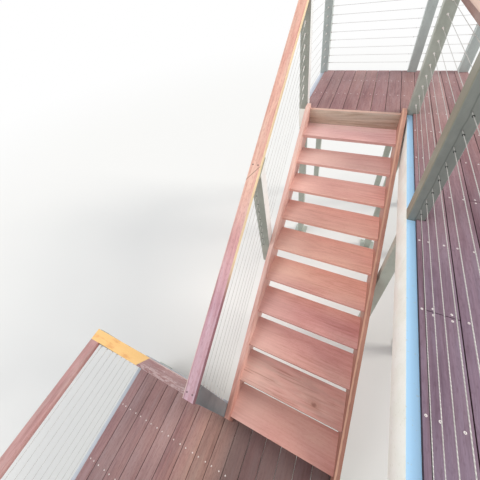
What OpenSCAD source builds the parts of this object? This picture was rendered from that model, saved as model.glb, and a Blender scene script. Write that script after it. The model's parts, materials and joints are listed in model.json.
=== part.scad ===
// Open-riser timber stair flight between two decks, with square steel posts,
// timber handrails and taut wire infill. The flight climbs along +Y.
// Every module is drawn in the flight's own frame: X is measured from the inner
// face of the left stringer, Y from the lowest nosing, Z from the ground.

/* [Flight] */
// Number of treads
tread_count = 10; // [4:1:14]
// Going of one step, nosing to nosing
going = 280; // [240:5:330]
// Rise of one step
rise = 170; // [150:5:185]
// Clear width between the stringers
stair_w = 934; // [750:1:1300]
// Depth of a tread, front to back
tread_depth = 285; // [235:1:340]
// Thickness of a tread
tread_t = 35; // [28:1:45]
// Radius of a tread's long edges
tread_edge_r = 5; // [2:1:10]
// Depth of the trench that houses a tread's end
housing_depth = 12; // [6:1:18]
// Play of a tread in its trench
housing_play = 0.4; // [0.2:0.1:1]

/* [Stringers] */
// Thickness of a stringer plank
stringer_t = 42; // [35:1:60]
// Width of a stringer plank, square to the slope
stringer_w = 290; // [260:5:340]
// Height of the plank's upper edge above the nosing line, plumb
stringer_above = 80; // [60:1:95]
// Distance of the plumb cut at the foot in front of the lowest nosing
stringer_toe = 30; // [15:1:60]
// Height of the level cut at the head above the landing
stringer_horn = 50; // [25:1:70]
// Thickness of the head board under the landing's edge
head_t = 45; // [35:1:60]
// Width of the head board
head_w = 190; // [180:1:220]

/* [Decks] */
// Height of the lower deck above the ground
deck_h = 550; // [400:10:900]
// Run of the lower deck, front to back
deck_run = 1527; // [1300:1:2200]
// Width of the lower deck beside the flight's guard
deck_side_w = 1098; // [900:1:1500]
// Run of the upper landing, front to back
landing_run = 1270; // [1150:10:1800]
// Length of the upper side deck in front of the landing
wing_run = 3180; // [3050:10:3400]
// Number of whole boards across the side deck
wing_boards = 4; // [4:1:7]
// Gap between the right stringer and the side deck
wing_gap = 16; // [8:1:40]
// Width of a deck board
board_w = 140; // [120:0.5:145]
// Thickness of a deck board
board_t = 22; // [19:1:28]
// Gap between two deck boards
board_gap = 3.5; // [2:0.5:6]
// Offset of a board joint from the left stringer
board_offset = 65; // [50:1:80]
// Narrowest ripped board that is laid
board_min_w = 20; // [15:1:60]
// Gap of a butt joint between two lengths of a board
butt_gap = 2; // [1:0.5:4]
// Width of bare flange along a deck's edge
edge_strip_w = 50; // [40:1:70]
// Width of bare flange along the lower deck's back edge
back_strip_w = 20; // [10:1:40]
// Distance of the lower deck's back edge behind its guard posts
back_lap = 27; // [0:1:40]
// Clearance of the boards round a post
notch_play = 3; // [1:0.5:6]

/* [Frames] */
// Depth of an edge channel
channel_h = 250; // [210:5:300]
// Width of a channel's flange
channel_b = 90; // [80:1:100]
// Thickness of a channel's web
channel_web = 8; // [6:0.5:10]
// Thickness of a channel's flange
channel_flange = 10; // [6:0.5:14]
// Depth of a joist
joist_h = 190; // [140:5:200]
// Thickness of a joist
joist_t = 45; // [35:1:60]
// Spacing of the joists
joist_pitch = 440; // [350:10:600]
// Distance of the lower deck's first joist from its back edge
deck_first_joist = 470; // [300:10:560]
// Distance of the side deck's first joist from the landing
wing_first_joist = 333; // [200:1:500]
// Side of a square leg
leg_w = 90; // [75:1:90]
// Side of a leg's base plate
base_w = 200; // [180:5:260]
// Thickness of a leg's base plate
base_t = 12; // [8:1:20]
// Spacing of the holes in a base plate
base_hole_pitch = 150; // [130:5:170]
// Diameter of the holes in a base plate
base_hole_d = 14; // [12:1:18]

/* [Posts and rails] */
// Side of a square guard post
post_w = 100; // [75:1:110]
// Wall of a square tube
tube_wall = 4; // [3:0.5:6]
// Corner radius of a square tube
tube_r = 8; // [6:1:12]
// Spacing of the foot post and the middle post of the flight
post_bay = 1400; // [1200:10:1500]
// Spacing of the side deck's guard posts from the landing's post
wing_bay = 1480; // [1300:10:1600]
// Height of the landing's handrail above its boards
landing_guard_h = 1100; // [1000:10:1200]
// Height of the side deck's handrail above its boards
wing_guard_h = 1050; // [1000:10:1200]
// Height of the lower deck's handrail above its boards
deck_guard_h = 1000; // [900:10:1100]
// Width of a handrail
rail_w = 88; // [75:1:120]
// Thickness of a handrail
rail_t = 42; // [35:1:60]
// Radius of a handrail's long edges
rail_edge_r = 6; // [3:1:12]
// Distance of the handrail's lower end in front of the foot post
rail_overhang = 10; // [0:1:80]
// Distance of the handrail's joint in front of the middle post's centre
rail_joint_back = 81; // [20:1:120]
// Skew of the handrail's joint across its width
rail_joint_skew = 110; // [10:1:140]
// Open width of the handrail's joints
rail_joint_gap = 1.5; // [0.3:0.1:2]
// Thickness of the plate on a post's top
plate_t = 6; // [4:1:10]
// Length of the plate on the top of a post that a rail runs over
plate_len = 180; // [130:5:240]

/* [Wires] */
// Diameter of a wire
wire_d = 3.2; // [2:0.1:5]
// Number of wires beside the flight
stair_wires = 9; // [5:1:10]
// Height of the flight's lowest wire above the nosing line, plumb
stair_wire_first = 120; // [100:1:150]
// Spacing of the flight's wires, plumb
stair_wire_pitch = 100; // [80:1:102]
// Number of level wires on the upper deck
landing_wires = 10; // [6:1:10]
// Number of level wires on the lower deck
deck_wires = 9; // [5:1:9]
// Height of the lowest level wire above the boards
level_wire_first = 105; // [80:1:115]
// Spacing of the level wires
level_wire_pitch = 95; // [80:1:97]
// Height of the side deck's lowest wire above its boards
wing_wire_first = 88; // [80:1:100]
// Spacing of the side deck's wires
wing_wire_pitch = 93.5; // [80:0.5:95]
// Diameter of the sleeve that is swaged on a wire's end
swage_d = 6.4; // [5.5:0.1:9]
// Length of the swaged sleeve
swage_len = 68; // [40:1:90]
// Diameter of the seat that holds a sleeve on its post
seat_d = 17; // [12:1:24]
// Height of the seat on its post
seat_t = 5; // [3:0.5:8]
// Diameter of the holes through an intermediate post
wire_hole_d = 7; // [6:0.5:12]

/* [Hidden] */
$fn = 48;
overcut = 1;
wire_fn = 16;

// Heights of the boards, the flanges, the rails and the lowest level wires
tread_numbers = [for (i = [1 : tread_count]) i];
landing_z = deck_h + rise * (tread_count + 1);
deck_frame_z = deck_h - board_t;
landing_frame_z = landing_z - board_t;
landing_rail_z = landing_z + landing_guard_h;
wing_rail_z = landing_z + wing_guard_h;
deck_rail_z = deck_h + deck_guard_h;
landing_wire_z = landing_z + level_wire_first;
wing_wire_z = landing_z + wing_wire_first;
deck_wire_z = deck_h + level_wire_first;

// Slope of the flight
slope = atan(rise / going);
plumb_factor = 1 / cos(slope);
head_y = (tread_count - 1) * going + tread_depth;
landing_y = head_y + head_t;
function nosing_z(y) = deck_h + rise + y * rise / going;

// Heights above the nosing line, plumb
stair_rail_h = landing_rail_z - nosing_z(landing_y);
stair_rail_under_h = stair_rail_h - rail_t * plumb_factor;
stair_plate_under_h = stair_rail_under_h - plate_t * plumb_factor;
stringer_under_h = stringer_above - stringer_w * plumb_factor;

// Plan of the left guard line and of the lower deck
left_x = -stringer_t - post_w;
guard_x = left_x + post_w / 2;
foot_y = -stringer_toe;
middle_y = foot_y + post_bay;
deck_left_x = left_x - deck_side_w;
wing_x = stair_w + stringer_t + wing_gap;
deck_right_x = wing_x;
deck_back_y = foot_y + post_w + back_lap;
deck_front_y = deck_back_y - deck_run;

// Plan of the upper decks
board_pitch = board_w + board_gap;
wing_first_board = ceil((wing_x + edge_strip_w - board_offset) / board_pitch);
wing_last_board = wing_first_board + wing_boards - 1;
right_x = board_offset + (wing_last_board + 1) * board_pitch - board_gap / 2;
rear_y = landing_y + landing_run;
wing_front_y = landing_y - wing_run;
wing_middle_y = landing_y - wing_bay;

// Plan of the whole part, whose base centre is the origin
middle_of_x = (deck_left_x + right_x) / 2;
middle_of_y = (deck_front_y + rear_y) / 2;

// Butt joints of the side deck, as the board's and the joist's number
butt_joints = [[wing_first_board, 4], [wing_first_board + 2, 2]];
function wing_joist_y(number) = landing_y - wing_first_joist - number * joist_pitch;

// Plan corners of the guard posts, at their lower left
stair_foot_post = [left_x, foot_y];
stair_middle_post = [left_x, middle_y];
front_left_post = [left_x, landing_y];
rear_left_post = [left_x, rear_y - post_w];
front_right_post = [wing_x, landing_y];
rear_right_post = [wing_x, rear_y - post_w];
rear_end_post = [right_x - post_w, rear_y - post_w];
wing_middle_post = [wing_x, wing_middle_y];
wing_front_post = [wing_x, wing_front_y];
deck_corner_post = [deck_left_x, foot_y];
deck_front_post = [deck_left_x, deck_front_y];
landing_posts = [front_left_post, rear_left_post, front_right_post, rear_right_post, rear_end_post];
wing_posts = [wing_middle_post, wing_front_post];
deck_posts = [stair_foot_post, deck_corner_post, deck_front_post];

// Legs stand under the posts and under the corners that carry none
leg_inset = (post_w - leg_w) / 2;
landing_leg_plan = concat(landing_posts, [[right_x - post_w, landing_y]]);
wing_leg_plan = concat(wing_posts, [[right_x - post_w, wing_middle_y], [right_x - post_w, wing_front_y]]);
deck_leg_plan = concat(
    deck_posts,
    [[deck_right_x - post_w, foot_y], [left_x, deck_front_y], [deck_right_x - post_w, deck_front_y]]
);

function tread_name(i) = str("tread_", i < 10 ? "0" : "", i);

// Puts the flight's frame where the base centre of the whole part is the origin
module in_part_frame() {
    translate([-middle_of_x, -middle_of_y, 0])
        children();
}

// Lays a profile along X: its first axis becomes Y and its second becomes Z
module run_x(from, to) {
    translate([from, 0, 0])
        rotate([90, 0, 90])
            linear_extrude(to - from)
                children();
}

// Lays a profile along Y: its first axis stays X and its second becomes Z
module run_y(from, to) {
    translate([0, to, 0])
        rotate([90, 0, 0])
            linear_extrude(to - from)
                children();
}

// Keeps what lies inside a plan outline, for mitres and coped ends
module cut_to_plan(points, bottom, top) {
    intersection() {
        children();
        translate([0, 0, bottom - overcut])
            linear_extrude(top - bottom + 2 * overcut)
                polygon(points);
    }
}

// Places children on a line parallel to the nosings, with +Y up the slope
module on_slope(x, y, height) {
    translate([x, y, nosing_z(y) + height])
        rotate([slope, 0, 0])
            children();
}

// Rectangle with round corners, from its lower left corner
module rounded_rect(width, height, radius) {
    translate([radius, 0])
        square([width - 2 * radius, height]);
    translate([0, radius])
        square([width, height - 2 * radius]);
    for (x = [radius, width - radius], y = [radius, height - radius])
        translate([x, y])
            circle(radius);
}

// Square steel tube that stands at a plan corner
module tube(corner, width, bottom, top) {
    translate([corner[0], corner[1], bottom])
        difference() {
            linear_extrude(top - bottom)
                rounded_rect(width, width, tube_r);
            translate([tube_wall, tube_wall, -overcut])
                linear_extrude(top - bottom + 2 * overcut)
                    rounded_rect(width - 2 * tube_wall, width - 2 * tube_wall, tube_r - tube_wall);
        }
}

// Channel profile with its web at the first axis' zero and its flanges on one side
module channel_profile(side) {
    scale_side = side == "plus" ? 0 : 1;
    mirror([scale_side, 0])
        difference() {
            square([channel_b, channel_h]);
            translate([channel_web, channel_flange])
                square([channel_b, channel_h - 2 * channel_flange]);
        }
}

// Edge channel along X whose outer face is at y
module channel_x(y, side, top, plan) {
    bottom = top - channel_h;
    xs = [for (p = plan) p[0]];
    cut_to_plan(plan, bottom, top)
        run_x(min(xs), max(xs))
            translate([y, bottom])
                channel_profile(side);
}

// Edge channel along Y whose outer face is at x
module channel_y(x, side, top, plan) {
    bottom = top - channel_h;
    ys = [for (p = plan) p[1]];
    cut_to_plan(plan, bottom, top)
        run_y(min(ys), max(ys))
            translate([x, bottom])
                channel_profile(side);
}

// Joist along X between two webs, coped under the upper flanges at both ends
module joist(from, to, y, top) {
    translate([from, y - joist_t / 2, top - joist_h])
        difference() {
            cube([to - from, joist_t, joist_h]);
            for (x = [-overcut, to - from - channel_b + channel_web])
                translate([x, -overcut, joist_h - channel_flange])
                    cube([channel_b - channel_web + overcut, joist_t + 2 * overcut, channel_flange + overcut]);
        }
}

// Row of joists between two edge channels, evenly spaced no wider than the pitch
module joist_row(left, right, front, rear, top) {
    count = ceil((rear - front) / joist_pitch);
    for (i = [1 : count - 1])
        joist(left + channel_web, right - channel_web, front + i * (rear - front) / count, top);
}

// Row of joists at the pitch, from the first one's centre line towards a front edge
module joist_run(left, right, first_y, front, top) {
    last = floor((first_y - front - channel_b - joist_t / 2) / joist_pitch);
    for (i = [0 : last])
        joist(left + channel_web, right - channel_web, first_y - i * joist_pitch, top);
}

// One deck board between two edges, ripped where an edge crosses it
module board(number, low_x, high_x, front, rear, top) {
    x0 = max(low_x, board_offset + number * board_pitch + board_gap / 2);
    x1 = min(high_x, board_offset + (number + 1) * board_pitch - board_gap / 2);
    if (x1 - x0 >= board_min_w)
        translate([x0, front, top - board_t])
            cube([x1 - x0, rear - front, board_t]);
}

// Cut through a board of the side deck over the middle of a joist
module butt_cut(joint) {
    translate([
        board_offset + joint[0] * board_pitch,
        wing_joist_y(joint[1]) - butt_gap / 2,
        landing_z - board_t - overcut
    ])
        cube([board_pitch, butt_gap, board_t + 2 * overcut]);
}

// Notch through the boards round a post
module post_notch(corner, top) {
    side = post_w + 2 * notch_play;
    translate([corner[0] - notch_play, corner[1] - notch_play, top - board_t - overcut])
        cube([side, side, board_t + 2 * overcut]);
}

// Leg with its base plate and bolt holes, from the ground to the underside of a channel
module leg(corner, top) {
    centre = [corner[0] + post_w / 2, corner[1] + post_w / 2, 0];
    tube([corner[0] + leg_inset, corner[1] + leg_inset], leg_w, base_t, top);
    translate(centre)
        difference() {
            translate([-base_w / 2, -base_w / 2, 0])
                cube([base_w, base_w, base_t]);
            for (x = [-1, 1], y = [-1, 1])
                translate([x * base_hole_pitch / 2, y * base_hole_pitch / 2, -overcut])
                    cylinder(d = base_hole_d, h = base_t + 2 * overcut);
        }
}

// Holes for level wires through an intermediate post, along X or Y
module level_wire_holes(corner, count, first_z, pitch, along_x) {
    for (i = [0 : count - 1])
        translate([
            corner[0] + (along_x ? -overcut : post_w / 2),
            corner[1] + (along_x ? post_w / 2 : -overcut),
            first_z + i * pitch
        ])
            rotate(along_x ? [0, 90, 0] : [-90, 0, 0])
                cylinder(d = wire_hole_d, h = post_w + 2 * overcut);
}

// Guard post with a top plate that carries a level rail, longer where the rail runs over it
module level_post(corner, frame_z, rail_z, plate_x = post_w, plate_y = post_w) {
    plate_under = rail_z - rail_t - plate_t;
    tube(corner, post_w, frame_z, plate_under);
    translate([corner[0] + (post_w - plate_x) / 2, corner[1] + (post_w - plate_y) / 2, plate_under])
        cube([plate_x, plate_y, plate_t]);
}

// Handrail profile about its centre line, with its upper face at zero
module rail_profile() {
    translate([-rail_w / 2, -rail_t])
        rounded_rect(rail_w, rail_t, rail_edge_r);
}

// Wire with its two swaged sleeves, from zero along +Z
module wire(length) {
    cylinder(d = wire_d, h = length, $fn = wire_fn);
    for (z = [0, length - swage_len])
        translate([0, 0, z])
            cylinder(d = swage_d, h = swage_len, $fn = wire_fn);
}

// Level wire along X or Y between two post faces, with a seat on each face
module level_wire(from, length, along_x) {
    translate(from)
        rotate(along_x ? [0, 90, 0] : [-90, 0, 0]) {
            wire(length);
            for (z = [0, length - seat_t])
                translate([0, 0, z])
                    cylinder(d = seat_d, h = seat_t, $fn = 2 * wire_fn);
        }
}

// Stack of level wires
module level_wires(from, length, count, first_z, pitch, along_x) {
    for (i = [0 : count - 1])
        level_wire([from[0], from[1], first_z + i * pitch], length, along_x);
}

// Half ball that seats a sloping sleeve on the upright face of a post
module ball_seat(y, height, towards) {
    intersection() {
        on_slope(guard_x, y, height)
            sphere(d = seat_d, $fn = 2 * wire_fn);
        translate([guard_x - seat_d, towards > 0 ? y : y - seat_d, nosing_z(y) + height - seat_d])
            cube([2 * seat_d, seat_d, 2 * seat_d]);
    }
}

// Block above a plane parallel to the nosings, cut off a post's top
module above_slope(corner, height) {
    reach = 3 * post_w;
    on_slope(corner[0] + post_w / 2, corner[1] + post_w / 2, height)
        translate([-reach / 2, -reach / 2, 0])
            cube([reach, reach, reach]);
}

// Post of the flight, cut to the rail's slope and closed by a sloping plate
module stair_post(corner, bottom, plate) {
    centre_y = corner[1] + post_w / 2;
    difference() {
        tube(corner, post_w, bottom, nosing_z(corner[1] + post_w) + stair_rail_under_h);
        above_slope(corner, stair_plate_under_h);
    }
    on_slope(guard_x, centre_y, stair_plate_under_h)
        translate([-post_w / 2, -plate / 2, 0])
            cube([post_w, plate, plate_t]);
}

// Outline of a stringer in the plane of the flight
module stringer_outline() {
    horn_z = landing_z + stringer_horn;
    horn_y = (horn_z - stringer_above - nosing_z(0)) * going / rise;
    heel_y = (deck_h - stringer_under_h - nosing_z(0)) * going / rise;
    polygon([
        [foot_y, deck_h],
        [foot_y, nosing_z(foot_y) + stringer_above],
        [horn_y, horn_z],
        [landing_y, horn_z],
        [landing_y, nosing_z(landing_y) + stringer_under_h],
        [heel_y, deck_h]
    ]);
}

// Profile of a tread with its long edges rounded
module tread_profile(grow) {
    translate([-grow, -tread_t])
        rounded_rect(tread_depth + 2 * grow, tread_t + grow, tread_edge_r);
}

// Stringer from its inner face at x, with a trench for each tread's end
module stringer(x, outwards) {
    translate([outwards < 0 ? x - stringer_t : x, 0, 0])
        difference() {
            rotate([90, 0, 90])
                linear_extrude(stringer_t)
                    stringer_outline();
            for (i = tread_numbers)
                translate([outwards < 0 ? stringer_t - housing_depth : -overcut, (i - 1) * going, deck_h + i * rise])
                    rotate([90, 0, 90])
                        linear_extrude(housing_depth + overcut)
                            tread_profile(housing_play);
        }
}

module stringer_left() {
    color("indianred")
        in_part_frame()
            stringer(0, -1);
}

module stringer_right() {
    color("indianred")
        in_part_frame()
            stringer(stair_w, 1);
}

// Tread of the given number, housed in both stringers
module tread(number) {
    end = housing_depth - housing_play;
    color("rosybrown")
        in_part_frame()
            translate([0, (number - 1) * going, deck_h + number * rise])
                run_x(-end, stair_w + end)
                    tread_profile(0);
}

module head_riser() {
    color("tan")
        in_part_frame()
            translate([0, head_y, landing_z - head_w])
                cube([stair_w, head_t, head_w]);
}

module stair_post_foot() {
    color("darkseagreen")
        in_part_frame()
            stair_post(stair_foot_post, deck_frame_z, post_w * plumb_factor);
}

module stair_post_middle() {
    centre_y = middle_y + post_w / 2;
    color("darkseagreen")
        in_part_frame()
            difference() {
                stair_post(stair_middle_post, nosing_z(middle_y) + stringer_under_h, plate_len);
                for (i = [0 : stair_wires - 1])
                    on_slope(guard_x, centre_y, stair_wire_first + i * stair_wire_pitch)
                        rotate([90, 0, 0])
                            cylinder(d = wire_hole_d, h = 2 * post_w, center = true);
            }
}

// Handrail of the flight between two plan outlines' ends
module sloping_rail(plan) {
    from = foot_y - rail_overhang - post_w;
    to = landing_y + post_w;
    length = (to - from) * plumb_factor;
    cut_to_plan(plan, deck_h, landing_rail_z + 2 * post_w)
        on_slope(guard_x, from, stair_rail_h)
            run_y(0, length)
                rail_profile();
}

// Y of the handrail's joint on its left and its right edge
rail_joint_y = middle_y + post_w / 2 - rail_joint_back;
rail_joint_left_y = rail_joint_y - rail_joint_skew / 2;
rail_joint_right_y = rail_joint_y + rail_joint_skew / 2;

module handrail_lower() {
    start = foot_y - rail_overhang;
    color("sandybrown")
        in_part_frame()
            sloping_rail([
                [guard_x - rail_w, start],
                [guard_x + rail_w, start],
                [guard_x + rail_w, rail_joint_right_y + rail_joint_skew / 2],
                [guard_x - rail_w, rail_joint_left_y - rail_joint_skew / 2]
            ]);
}

module handrail_upper() {
    color("sandybrown")
        in_part_frame()
            sloping_rail([
                [guard_x - rail_w, rail_joint_left_y - rail_joint_skew / 2 + rail_joint_gap],
                [guard_x + rail_w, rail_joint_right_y + rail_joint_skew / 2 + rail_joint_gap],
                [guard_x + rail_w, landing_y - rail_joint_gap],
                [guard_x - rail_w, landing_y - rail_joint_gap]
            ]);
}

module stair_wires_side() {
    start = foot_y + post_w;
    end = landing_y;
    color("silver")
        in_part_frame()
            for (i = [0 : stair_wires - 1]) {
                height = stair_wire_first + i * stair_wire_pitch;
                inset = swage_d / 2 * tan(slope);
                on_slope(guard_x, start + inset, height)
                    rotate([-90, 0, 0])
                        wire((end - start - 2 * inset) * plumb_factor);
                ball_seat(start, height, 1);
                ball_seat(end, height, -1);
            }
}

module landing_end_beams() {
    b = channel_b;
    color("gainsboro")
        in_part_frame() {
            channel_x(landing_y, "plus", landing_frame_z, [
                [left_x, landing_y],
                [wing_x, landing_y],
                [wing_x + b, landing_y + b],
                [left_x + b, landing_y + b]
            ]);
            channel_x(rear_y, "minus", landing_frame_z, [
                [left_x, rear_y],
                [right_x, rear_y],
                [right_x - b, rear_y - b],
                [left_x + b, rear_y - b]
            ]);
        }
}

module landing_side_beams() {
    b = channel_b;
    color("gainsboro")
        in_part_frame() {
            channel_y(left_x, "plus", landing_frame_z, [
                [left_x, landing_y],
                [left_x, rear_y],
                [left_x + b, rear_y - b],
                [left_x + b, landing_y + b]
            ]);
            channel_y(right_x, "minus", landing_frame_z, [
                [right_x, wing_front_y],
                [right_x, rear_y],
                [right_x - b, rear_y - b],
                [right_x - b, wing_front_y + b]
            ]);
        }
}

module landing_joists() {
    color("burlywood")
        in_part_frame()
            joist_row(left_x, right_x, landing_y, rear_y, landing_frame_z);
}

module landing_boards() {
    first = floor((left_x - board_offset) / board_pitch);
    color("rosybrown")
        in_part_frame()
            difference() {
                union() {
                    for (k = [first : wing_last_board])
                        board(
                            k,
                            left_x + edge_strip_w,
                            right_x,
                            k < wing_first_board ? landing_y : wing_front_y,
                            rear_y - edge_strip_w,
                            landing_z
                        );
                    board(
                        wing_first_board - 1,
                        wing_x + edge_strip_w,
                        right_x,
                        wing_front_y,
                        landing_y - board_gap,
                        landing_z
                    );
                }
                for (corner = concat(landing_posts, wing_posts))
                    post_notch(corner, landing_z);
                for (joint = butt_joints)
                    butt_cut(joint);
            }
}

module landing_legs() {
    color("darkseagreen")
        in_part_frame()
            for (corner = landing_leg_plan)
                leg(corner, landing_frame_z - channel_h);
}

module landing_post_front_left() {
    color("darkseagreen")
        in_part_frame()
            level_post(front_left_post, landing_frame_z, landing_rail_z);
}

module landing_post_rear_left() {
    color("darkseagreen")
        in_part_frame()
            level_post(rear_left_post, landing_frame_z, landing_rail_z);
}

module landing_post_front_right() {
    color("darkseagreen")
        in_part_frame()
            level_post(front_right_post, landing_frame_z, wing_rail_z);
}

module landing_post_rear_right() {
    color("darkseagreen")
        in_part_frame()
            difference() {
                level_post(rear_right_post, landing_frame_z, landing_rail_z, plate_x = plate_len);
                level_wire_holes(rear_right_post, landing_wires, landing_wire_z, level_wire_pitch, true);
            }
}

module landing_post_rear_end() {
    color("darkseagreen")
        in_part_frame()
            level_post(rear_end_post, landing_frame_z, landing_rail_z);
}

module landing_rail_left() {
    r = rail_w / 2;
    corner_y = rear_y - post_w / 2;
    color("sandybrown")
        in_part_frame()
            cut_to_plan([
                [guard_x - r, landing_y],
                [guard_x - r, corner_y + r],
                [guard_x + r, corner_y - r],
                [guard_x + r, landing_y]
            ], landing_rail_z - rail_t, landing_rail_z)
                run_y(landing_y, corner_y + r)
                    translate([guard_x, landing_rail_z])
                        rail_profile();
}

module landing_rail_rear() {
    r = rail_w / 2;
    corner_y = rear_y - post_w / 2;
    color("sandybrown")
        in_part_frame()
            cut_to_plan([
                [guard_x - r, corner_y + r],
                [right_x, corner_y + r],
                [right_x, corner_y - r],
                [guard_x + r, corner_y - r]
            ], landing_rail_z - rail_t, landing_rail_z)
                run_x(guard_x - r, right_x)
                    translate([corner_y, landing_rail_z])
                        rail_profile();
}

module landing_wires_left() {
    start = landing_y + post_w;
    color("silver")
        in_part_frame()
            level_wires(
                [guard_x, start],
                rear_y - post_w - start,
                landing_wires,
                landing_wire_z,
                level_wire_pitch,
                false
            );
}

module landing_wires_rear() {
    start = left_x + post_w;
    color("silver")
        in_part_frame()
            level_wires(
                [start, rear_y - post_w / 2],
                right_x - post_w - start,
                landing_wires,
                landing_wire_z,
                level_wire_pitch,
                true
            );
}

module wing_beams() {
    b = channel_b;
    color("gainsboro")
        in_part_frame() {
            channel_y(wing_x, "plus", landing_frame_z, [
                [wing_x, wing_front_y],
                [wing_x, landing_y],
                [wing_x + b, landing_y + b],
                [wing_x + b, wing_front_y + b]
            ]);
            channel_x(wing_front_y, "plus", landing_frame_z, [
                [wing_x, wing_front_y],
                [right_x, wing_front_y],
                [right_x - b, wing_front_y + b],
                [wing_x + b, wing_front_y + b]
            ]);
        }
}

module wing_joists() {
    color("burlywood")
        in_part_frame() {
            joist_run(wing_x, right_x, wing_joist_y(0), wing_front_y, landing_frame_z);
            joist(wing_x + channel_web, right_x - channel_web, landing_y + joist_t / 2, landing_frame_z);
        }
}

module wing_legs() {
    color("darkseagreen")
        in_part_frame()
            for (corner = wing_leg_plan)
                leg(corner, landing_frame_z - channel_h);
}

module wing_post_middle() {
    color("darkseagreen")
        in_part_frame()
            difference() {
                level_post(wing_middle_post, landing_frame_z, wing_rail_z, plate_y = plate_len);
                level_wire_holes(wing_middle_post, landing_wires, wing_wire_z, wing_wire_pitch, false);
            }
}

module wing_post_front() {
    color("darkseagreen")
        in_part_frame()
            level_post(wing_front_post, landing_frame_z, wing_rail_z);
}

module wing_rail() {
    centre_x = wing_x + post_w / 2;
    color("sandybrown")
        in_part_frame()
            run_y(wing_front_y, landing_y + post_w)
                translate([centre_x, wing_rail_z])
                    rail_profile();
}

module wing_wires() {
    start = wing_front_y + post_w;
    color("silver")
        in_part_frame()
            level_wires(
                [wing_x + post_w / 2, start],
                landing_y - start,
                landing_wires,
                wing_wire_z,
                wing_wire_pitch,
                false
            );
}

module deck_end_beams() {
    b = channel_b;
    color("gainsboro")
        in_part_frame() {
            channel_x(deck_back_y, "minus", deck_frame_z, [
                [deck_left_x, deck_back_y],
                [deck_right_x, deck_back_y],
                [deck_right_x - b, deck_back_y - b],
                [deck_left_x + b, deck_back_y - b]
            ]);
            channel_x(deck_front_y, "plus", deck_frame_z, [
                [deck_left_x, deck_front_y],
                [deck_right_x, deck_front_y],
                [deck_right_x - b, deck_front_y + b],
                [deck_left_x + b, deck_front_y + b]
            ]);
        }
}

module deck_side_beams() {
    b = channel_b;
    color("gainsboro")
        in_part_frame() {
            channel_y(deck_left_x, "plus", deck_frame_z, [
                [deck_left_x, deck_front_y],
                [deck_left_x, deck_back_y],
                [deck_left_x + b, deck_back_y - b],
                [deck_left_x + b, deck_front_y + b]
            ]);
            channel_y(deck_right_x, "minus", deck_frame_z, [
                [deck_right_x, deck_front_y],
                [deck_right_x, deck_back_y],
                [deck_right_x - b, deck_back_y - b],
                [deck_right_x - b, deck_front_y + b]
            ]);
        }
}

module deck_joists() {
    color("burlywood")
        in_part_frame()
            joist_run(deck_left_x, deck_right_x, deck_back_y - deck_first_joist, deck_front_y, deck_frame_z);
}

module deck_boards() {
    first = floor((deck_left_x - board_offset) / board_pitch);
    last = ceil((deck_right_x - board_offset) / board_pitch);
    color("rosybrown")
        in_part_frame()
            difference() {
                for (k = [first : last])
                    board(
                        k,
                        deck_left_x + edge_strip_w,
                        deck_right_x,
                        deck_front_y,
                        deck_back_y - back_strip_w,
                        deck_h
                    );
                for (corner = deck_posts)
                    post_notch(corner, deck_h);
            }
}

module deck_legs() {
    color("darkseagreen")
        in_part_frame()
            for (corner = deck_leg_plan)
                leg(corner, deck_frame_z - channel_h);
}

module deck_post_corner() {
    color("darkseagreen")
        in_part_frame()
            level_post(deck_corner_post, deck_frame_z, deck_rail_z);
}

module deck_post_front() {
    color("darkseagreen")
        in_part_frame()
            level_post(deck_front_post, deck_frame_z, deck_rail_z);
}

module deck_rail_left() {
    r = rail_w / 2;
    centre_x = deck_left_x + post_w / 2;
    corner_y = foot_y + post_w / 2;
    color("sandybrown")
        in_part_frame()
            cut_to_plan([
                [centre_x - r, deck_front_y],
                [centre_x - r, corner_y + r],
                [centre_x + r, corner_y - r],
                [centre_x + r, deck_front_y]
            ], deck_rail_z - rail_t, deck_rail_z)
                run_y(deck_front_y, corner_y + r)
                    translate([centre_x, deck_rail_z])
                        rail_profile();
}

module deck_rail_back() {
    r = rail_w / 2;
    centre_x = deck_left_x + post_w / 2;
    corner_y = foot_y + post_w / 2;
    color("sandybrown")
        in_part_frame()
            cut_to_plan([
                [centre_x - r, corner_y + r],
                [left_x, corner_y + r],
                [left_x, corner_y - r],
                [centre_x + r, corner_y - r]
            ], deck_rail_z - rail_t, deck_rail_z)
                run_x(centre_x - r, left_x)
                    translate([corner_y, deck_rail_z])
                        rail_profile();
}

module deck_wires_left() {
    start = deck_front_y + post_w;
    color("silver")
        in_part_frame()
            level_wires(
                [deck_left_x + post_w / 2, start],
                foot_y - start,
                deck_wires,
                deck_wire_z,
                level_wire_pitch,
                false
            );
}

module deck_wires_back() {
    start = deck_left_x + post_w;
    color("silver")
        in_part_frame()
            level_wires(
                [start, foot_y + post_w / 2],
                left_x - start,
                deck_wires,
                deck_wire_z,
                level_wire_pitch,
                true
            );
}

stringer_left();
stringer_right();
for (i = tread_numbers)
    tread(i);
head_riser();
stair_post_foot();
stair_post_middle();
handrail_lower();
handrail_upper();
stair_wires_side();
landing_end_beams();
landing_side_beams();
landing_joists();
landing_boards();
landing_legs();
landing_post_front_left();
landing_post_rear_left();
landing_post_front_right();
landing_post_rear_right();
landing_post_rear_end();
landing_rail_left();
landing_rail_rear();
landing_wires_left();
landing_wires_rear();
wing_beams();
wing_joists();
wing_legs();
wing_post_middle();
wing_post_front();
wing_rail();
wing_wires();
deck_end_beams();
deck_side_beams();
deck_joists();
deck_boards();
deck_legs();
deck_post_corner();
deck_post_front();
deck_rail_left();
deck_rail_back();
deck_wires_left();
deck_wires_back();
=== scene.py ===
"""Looks of an open-riser timber stair flight between two decks.

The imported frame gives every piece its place. This script gives the pieces their finishes, rounds the
edges of the boards, planks and channels, adds screws, wire nuts and bushes, and sets up the camera and
studio. Lengths are in metres, and colours are six hexadecimal digits, as the eye names them.
"""

import json
import logging
import math
from collections.abc import Callable, Iterable
from dataclasses import dataclass
from enum import Enum
from functools import cached_property

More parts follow.
